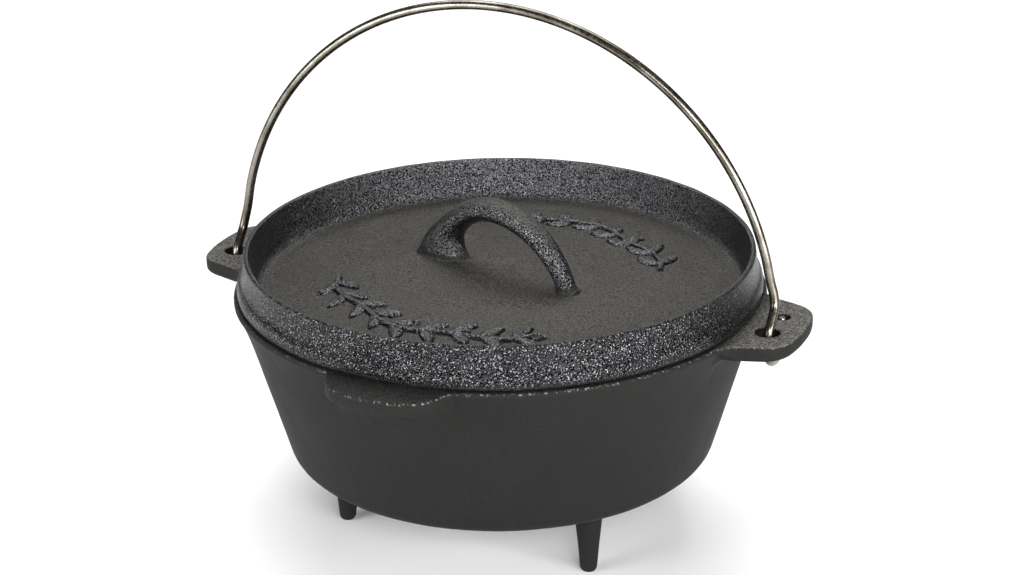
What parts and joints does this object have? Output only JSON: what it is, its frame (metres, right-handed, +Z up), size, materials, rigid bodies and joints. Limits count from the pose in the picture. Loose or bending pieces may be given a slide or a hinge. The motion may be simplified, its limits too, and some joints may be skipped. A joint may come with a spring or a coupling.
{
  "type": "cast iron dutch oven",
  "caption": "Cast iron camp dutch oven on stub legs, with a flanged lid, raised coal ring, loop handle, eared rim, front lip and a hinged wire bail.",
  "frame": {"origin": "centre of the pot's flat underside, on the pot's own axis; the feet reach 40 mm below it", "axes": "+Z up along the pot's axis; the two ears and the bail's hooks lie on +X and -X; -Y towards the front lip, so +X is the right ear seen from the front"},
  "size_m": [0.3258, 0.2894, 0.2793],
  "materials": {
    "pot_iron": "dark seasoned sand casting, matt with fine grain",
    "lid_iron": "seasoned sand casting, smoother on the tray, coarse grain on the ring and the handle",
    "bail_wire": "plain drawn steel wire, lightly worn"
  },
  "bodies": {
    "pot": {"pot": "pot_iron"},
    "lid": {"lid": "lid_iron"},
    "bail": {"bail": "bail_wire"}
  },
  "joints": [
    {"name": "bail_swing", "type": "hinge", "parent": "pot", "child": "bail", "pos_m": [0, 0, 0.081], "axis": [1, 0, 0], "range_deg": [-64, 10]},
    {"name": "lid_lift", "type": "slide", "parent": "pot", "child": "lid", "axis": [0, 0, 1], "range_m": [0, 0.035]}
  ]
}
